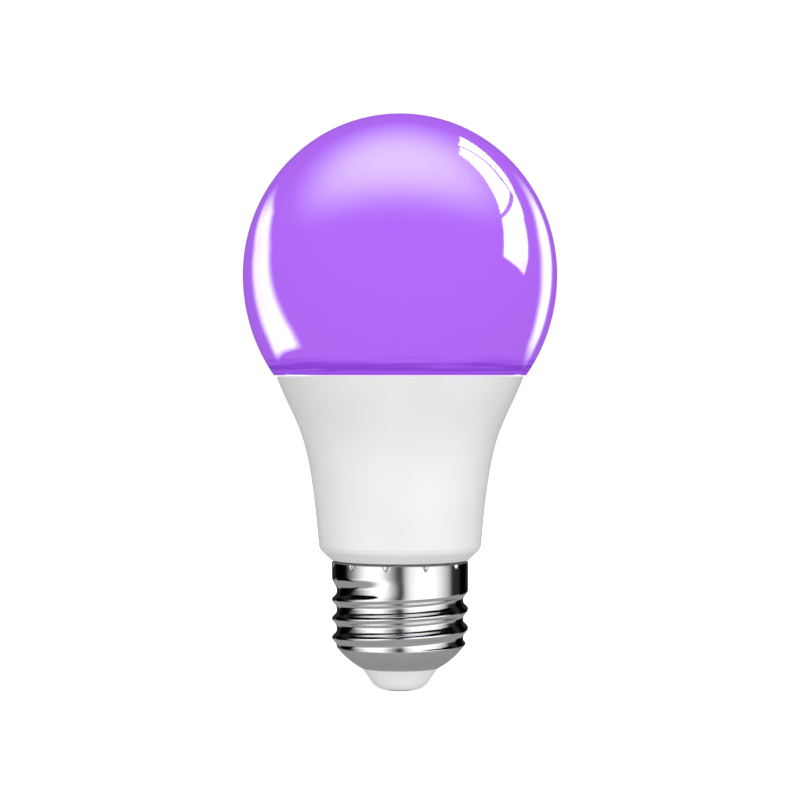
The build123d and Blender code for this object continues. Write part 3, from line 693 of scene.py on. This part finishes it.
# A glowing card from rows of (place, UV), which only mirrors see and only a group of pieces reflects
def reflectedCard(name, rows, material, group):
    shape = bmesh.new()
    uvs = shape.loops.layers.uv.new("UVMap")
    grid = [[(shape.verts.new(place), uv) for place, uv in row] for row in rows]
    for lower, upper in zip(grid, grid[1:]):
        for i in range(len(lower) - 1):
            corners = (lower[i], lower[i + 1], upper[i + 1], upper[i])
            face = shape.faces.new([corner[0] for corner in corners])
            for loop, corner in zip(face.loops, corners):
                loop[uvs].uv = corner[1]
    card = objectFrom(shape, name, material)
    card.visible_camera = False
    card.visible_diffuse = False
    card.visible_transmission = False
    card.visible_volume_scatter = False
    card.visible_shadow = False
    card.light_linking.receiver_collection = group


# A card bent round a centre, between two edges that pass through pairs of (azimuth, elevation)
def bentCard(name, edges, centre, distance, material, group, steps=12):
    rows = []
    spans = len(edges) - 1
    for row in range(spans * steps + 1):
        span = min(row // steps, spans - 1)
        left, right = [
            between(edges[span][side], edges[span + 1][side], row / steps - span) for side in (0, 1)
        ]
        rows.append([
            (
                centre + direction(*between(left, right, column / steps)) * distance,
                (column / steps, row / (spans * steps)),
            )
            for column in range(steps + 1)
        ])
    reflectedCard(name, rows, material, group)


# The end of every glowing material: a level, which ramps give, times a power
def glowFrom(tree, level, power, colour):
    strength = addNode(tree, "ShaderNodeMath", {0: level}, {1: power}, operation="MULTIPLY")
    glow = addNode(tree, "ShaderNodeEmission", {"Strength": strength.outputs["Value"]}, {"Color": colour})
    addNode(tree, "ShaderNodeOutputMaterial", {"Surface": glow.outputs["Emission"]})


# Two big softboxes round the front of the cap with a dark slit between them, black flags beside them, and
# a grey card below. Each layer is (azimuth, level) stops round the cap and (elevation, level) stops up it.
tent = {
    "power": 1.3,
    "distance": 3.2,
    "steps": 48,
    "layers": [
        (
            [
                (-180, 0.04), (-150, 0.012), (-108, 0.015), (-92, 0.15), (-76, 0.55), (-60, 0.95),
                (-50, 1.0), (-34, 1.0), (-17, 0.42), (-4, 0.05), (3, 0.05), (9, 0.5), (18, 0.85),
                (30, 1.0), (60, 1.0), (80, 0.6), (92, 0.3), (98, 0.02), (150, 0.015), (180, 0.04),
            ],
            [(-90, 0.0), (-30, 0.0), (-15, 1.0), (30, 1.0), (52, 0.3), (90, 0.2)],
        ),
        (
            [(-180, 0.8), (-40, 1.0), (40, 1.0), (180, 0.8)],
            [(-90, 0.3), (-15, 0.3), (-9, 0.0), (90, 0.0)],
        ),
    ],
}


def tentMaterial():
    material, tree = emptyMaterial("light tent")
    place = addNode(tree, "ShaderNodeTexCoord")
    parts = addNode(tree, "ShaderNodeSeparateXYZ", {"Vector": place.outputs["UV"]})
    total = None
    for roundStops, heightStops in tent["layers"]:
        around = addNode(tree, "ShaderNodeValToRGB", {"Fac": parts.outputs["X"]})
        setStops(around, [((azimuth + 180) / 360, level) for azimuth, level in roundStops])
        upward = addNode(tree, "ShaderNodeValToRGB", {"Fac": parts.outputs["Y"]})
        setStops(
            upward, [((elevation + 90) / 180, level) for elevation, level in heightStops], blend="EASE")
        layer = addNode(
            tree, "ShaderNodeMath", {0: around.outputs["Color"], 1: upward.outputs["Color"]},
            operation="MULTIPLY")
        if total is not None:
            layer = addNode(
                tree, "ShaderNodeMath", {0: total.outputs["Value"], 1: layer.outputs["Value"]},
                operation="ADD")
        total = layer
    glowFrom(tree, total.outputs["Value"], tent["power"], white)
    return material


bentCard(
    "light_tent", [((-180, -90), (180, -90)), ((-180, 90), (180, 90))],
    capCentre, tent["distance"], tentMaterial(), capAndHousing, tent["steps"])

# Cards that only the globe mirrors. Edges are pairs of (azimuth, elevation), from the bottom up.
# Glow has stops from one side to the other, then from the bottom up.
leftStrip = {
    "power": 15.0,
    "distance": 2.6,
    "across": [(0.0, 0.0), (0.35, 0.6), (0.72, 1.0), (1.0, 0.0)],
    "upward": [(0.0, 0.3), (0.06, 1.0), (0.5, 0.65), (0.75, 0.5), (1.0, 0.0)],
    "edges": [
        ((-142, -20), (-93, -34)), ((-138, -15), (-92, -25)), ((-138, -8), (-97, -12)),
        ((-139, 0), (-103, 0)), ((-142, 8), (-108, 13)), ((-150, 13), (-122, 24)), ((-154, 19), (-146, 25)),
    ],
}
rightStrip = {
    "power": 6.0,
    "distance": 2.6,
    "across": [(0.0, 0.0), (0.4, 1.0), (0.6, 1.0), (1.0, 0.0)],
    "upward": [(0.0, 0.0), (0.3, 1.0), (0.65, 1.0), (1.0, 0.0)],
    "edges": [
        ((138, -23), (154, -16)), ((127, -20), (150, -12)), ((121, -10), (148, -5)), ((119, 3), (149, 1)),
        ((123, 14), (152, 8)), ((134, 23), (155, 14)), ((146, 30), (157, 22)),
    ],
}
# Three panes, with the dark bars of the window between them
window = {
    "power": 17.0,
    "distance": 0.9,
    "across": [(0.0, 1.0), (1.0, 0.6)],
    "upward": [(0.0, 1.0), (1.0, 1.0)],
    "panes": [
        [((80, 9.5), (100, 1)), ((81.5, 13.5), (106, 8)), ((84, 19), (111, 17)), ((89.5, 28), (120, 31))],
        [
            ((90.8, 30.2), (119.5, 33.5)), ((101, 43), (122, 38.5)), ((111, 51.5), (132, 46.5)),
            ((123, 59), (138, 54.5)),
        ],
        [
            ((115.3, 23), (116, 22.5)), ((120.3, 31), (124.5, 30.5)), ((123.5, 36), (131.5, 33.5)),
            ((135, 45.5), (140, 38)), ((141, 54), (156, 43.6)),
        ],
    ],
}


# Glow is the product of a ramp across the card and a ramp up it
def cardMaterial(name, card):
    material, tree = emptyMaterial(name)
    place = addNode(tree, "ShaderNodeTexCoord")
    parts = addNode(tree, "ShaderNodeSeparateXYZ", {"Vector": place.outputs["UV"]})
    across = addNode(tree, "ShaderNodeValToRGB", {"Fac": parts.outputs["X"]})
    setStops(across, card["across"], blend="EASE")
    upward = addNode(tree, "ShaderNodeValToRGB", {"Fac": parts.outputs["Y"]})
    setStops(upward, card["upward"], blend="EASE")
    product = addNode(
        tree, "ShaderNodeMath", {0: across.outputs["Color"], 1: upward.outputs["Color"]},
        operation="MULTIPLY")
    glowFrom(tree, product.outputs["Value"], card["power"], daylight)
    return material


for side, strip in (("left", leftStrip), ("right", rightStrip)):
    bentCard(
        f"strip_light_{side}", strip["edges"], globeCentre, strip["distance"],
        cardMaterial(f"{side} strip", strip), globeOnly)
paneMaterial = cardMaterial("window pane", window)
for number, edges in enumerate(window["panes"]):
    bentCard(f"window_pane_{number}", edges, globeCentre, window["distance"], paneMaterial, globeOnly)

overhead = {
    "power": 6.9,
    "fall": [(0.0, 1.0), (0.2, 0.95), (0.45, 0.4), (0.7, 0.1), (1.0, 0.0)],  # from the middle out
    "width": 4.6,
    "depth": 2.3,
    "height": 1.0,  # over the globe's centre
    "forward": 0.21,
    "rows": 6,
}


# Glow falls off evenly from the box's middle to its rim
def overheadMaterial():
    material, tree = emptyMaterial("overhead box")
    place = addNode(tree, "ShaderNodeTexCoord")
    middle = addNode(
        tree, "ShaderNodeVectorMath", {0: place.outputs["UV"]}, {1: (0.5, 0.5, 0.0)}, operation="DISTANCE")
    twice = addNode(tree, "ShaderNodeMath", {0: middle.outputs["Value"]}, {1: 2.0}, operation="MULTIPLY")
    fall = addNode(tree, "ShaderNodeValToRGB", {"Fac": twice.outputs["Value"]})
    setStops(fall, overhead["fall"], blend="B_SPLINE")
    glowFrom(tree, fall.outputs["Color"], overhead["power"], daylight)
    return material


# The overhead box is flat, so its corners are found from its size
def overheadRows():
    rows = []
    for row in range(overhead["rows"] + 1):
        share = row / overhead["rows"]
        y = overhead["depth"] * (share - 0.5) - overhead["forward"]
        corners = [Vector((side * overhead["width"] / 2, y, overhead["height"])) for side in (-1, 1)]
        rows.append([(globeCentre + corner, (side, share)) for side, corner in enumerate(corners)])
    return rows


reflectedCard("overhead_box", overheadRows(), overheadMaterial(), globeOnly)
print("cards hung for reflections")

# Sizes in metres. Rings are radii on the floor, and the last is where the backdrop stands.
floor = {"rings": (0.05, 0.3, 4.0), "segments": 96, "tone": "#F2F2F2", "glow": 0.42, "roughness": 0.7}
backdrop = {"glow": 1.02, "step": 4}  # degrees from ring to ring
bounce = {"glow": 0.74, "drop": 0.001}


# A wide surface of revolution from rings of (radius, height), which mirrors and soft light don't see
def plainStage(name, rings, material):
    shape = bmesh.new()
    loops = [ringAt(shape, radius, height, floor["segments"]) for radius, height in rings]
    for inner, outer in zip(loops, loops[1:]):
        for i in range(floor["segments"]):
            j = (i + 1) % floor["segments"]
            shape.faces.new((inner[i], outer[i], outer[j], inner[j]))
    shape.faces.new(loops[0])
    piece = objectFrom(shape, name, material)
    piece.visible_glossy = False
    piece.visible_diffuse = False
    return piece


floorMaterial = newMaterial("painted studio floor", {
    "Base Color": linear(floor["tone"]), "Emission Color": white, "Emission Strength": floor["glow"],
    "Roughness": floor["roughness"], "Specular IOR Level": 0.0,
})[0]
plainStage("studio_floor", [(radius, 0.0) for radius in floor["rings"]], floorMaterial)


# Black with a glow of its own, so that nothing shades it
def glowingPaper(name, glow):
    return newMaterial(name, {
        "Base Color": black, "Emission Color": white, "Emission Strength": glow, "Specular IOR Level": 0.0,
    })[0]


reach = floor["rings"][-1]
domeTurns = [math.radians(elevation) for elevation in range(88, -4, -backdrop["step"])]
domeRings = [(reach * math.cos(turn), reach * math.sin(turn)) for turn in domeTurns]
dome = plainStage("studio_backdrop", domeRings, glowingPaper("paper backdrop", backdrop["glow"]))
dome.visible_shadow = False

# What the floor throws back, which only soft light sees
thrown = plainStage(
    "floor_bounce", [(radius, -bounce["drop"]) for radius in floor["rings"]],
    glowingPaper("floor bounce", bounce["glow"]))
thrown.visible_diffuse = True
thrown.visible_camera = False
thrown.visible_shadow = False

# Even light from all round, which mirrors don't show
ambient = 1.0
world = bpy.data.worlds.new("soft room")
world.use_nodes = True
world.node_tree.nodes["Background"].inputs["Color"].default_value = white
world.node_tree.nodes["Background"].inputs["Strength"].default_value = ambient
world.cycles_visibility.glossy = False
world.cycles_visibility.camera = False
stageScene.world = world

# A broad soft lamp in front, above and a little to the right
softKey = {"place": (0.22, -1.4, 0.55), "size": 1.2, "watts": 7.8}
keyData = bpy.data.lights.new("soft_key", "AREA")
keyData.size = softKey["size"]
keyData.energy = softKey["watts"]
keyLight = bpy.data.objects.new("soft_key", keyData)
keyLight.location = softKey["place"]
keyLight.rotation_euler = (capCentre - Vector(softKey["place"])).to_track_quat("-Z", "Y").to_euler()
keyLight.visible_glossy = False
stageScene.collection.objects.link(keyLight)
print("studio lit")

# The camera stands in front, level with the joint, and sees this width of the part's own plane
view = {"distance": 0.48, "height": 60 * mm, "aim": 55.4 * mm, "width": 153.0 * mm, "sensor": 36}
cameraData = bpy.data.cameras.new("camera")
cameraData.sensor_width = view["sensor"]
cameraData.lens = view["sensor"] * view["distance"] / view["width"]
camera = bpy.data.objects.new("camera", cameraData)
camera.location = (0, -view["distance"], view["height"])
camera.rotation_euler = (Vector((0, 0, view["aim"])) - camera.location).to_track_quat("-Z", "Y").to_euler()
stageScene.collection.objects.link(camera)
stageScene.camera = camera
stageScene.view_settings.view_transform = "Standard"
